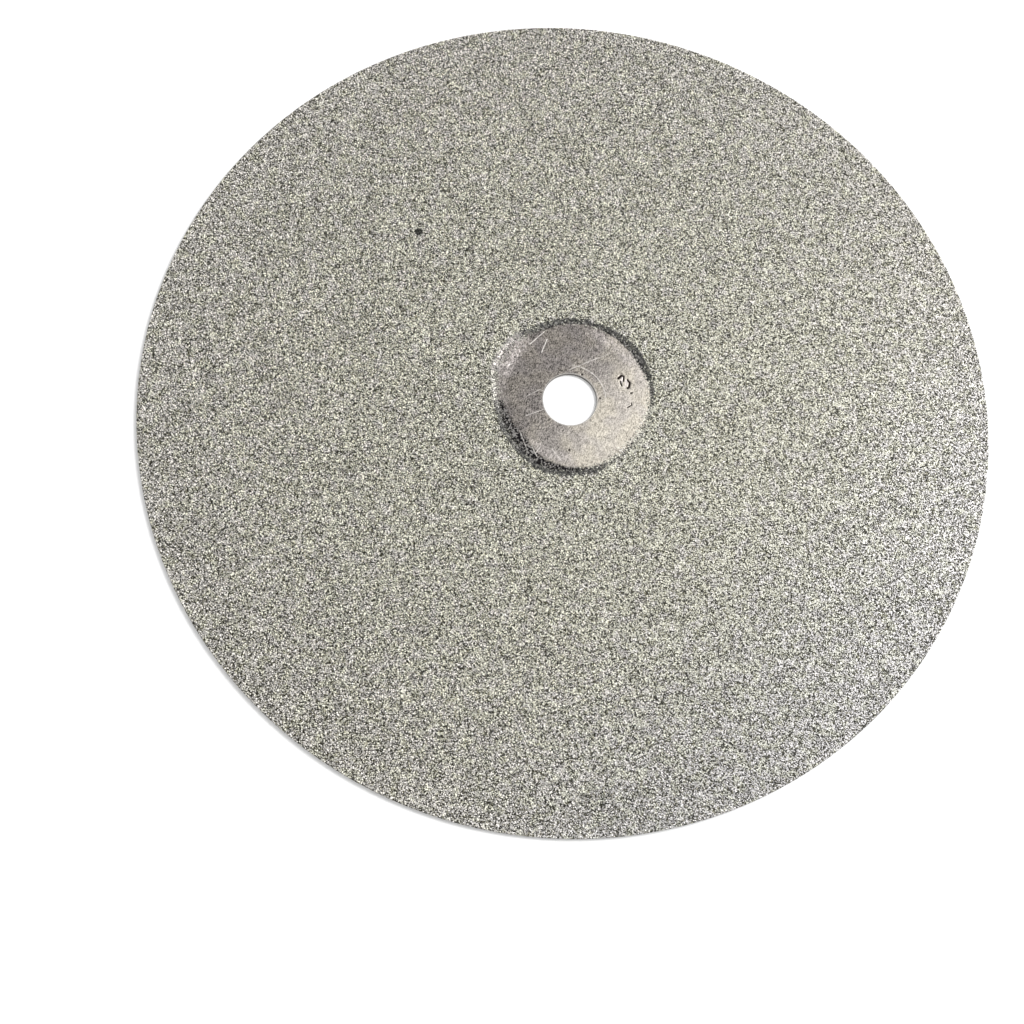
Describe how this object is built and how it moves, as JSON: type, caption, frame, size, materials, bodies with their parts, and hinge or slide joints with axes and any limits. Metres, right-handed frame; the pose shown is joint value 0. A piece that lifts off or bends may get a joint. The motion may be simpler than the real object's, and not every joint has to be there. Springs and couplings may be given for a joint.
{
  "type": "diamond grinding wheel",
  "caption": "Flat round grinding wheel: a thin bored steel disc, nickel-plated on one face to hold diamond grit, with a bare steel hub for the clamp.",
  "frame": {"origin": "on the bore's axis, on the bare back face", "axes": "+Z out of the grinding face, along the bore; X and Y lie in the disc, and the grit's inner edge sits a little towards +X and +Y"},
  "size_m": [0.2, 0.2, 0.0015],
  "materials": {
    "ground_steel": "ground, lightly scratched, brownish grey",
    "plated_nickel": "matt electroplated nickel",
    "diamond_grit": "coarse sparkling crystals, warm grey"
  },
  "bodies": {
    "root": {"steel_disc": "ground_steel", "nickel_bond_layer": "plated_nickel", "diamond_grit_layer": "diamond_grit"}
  },
  "joints": []
}
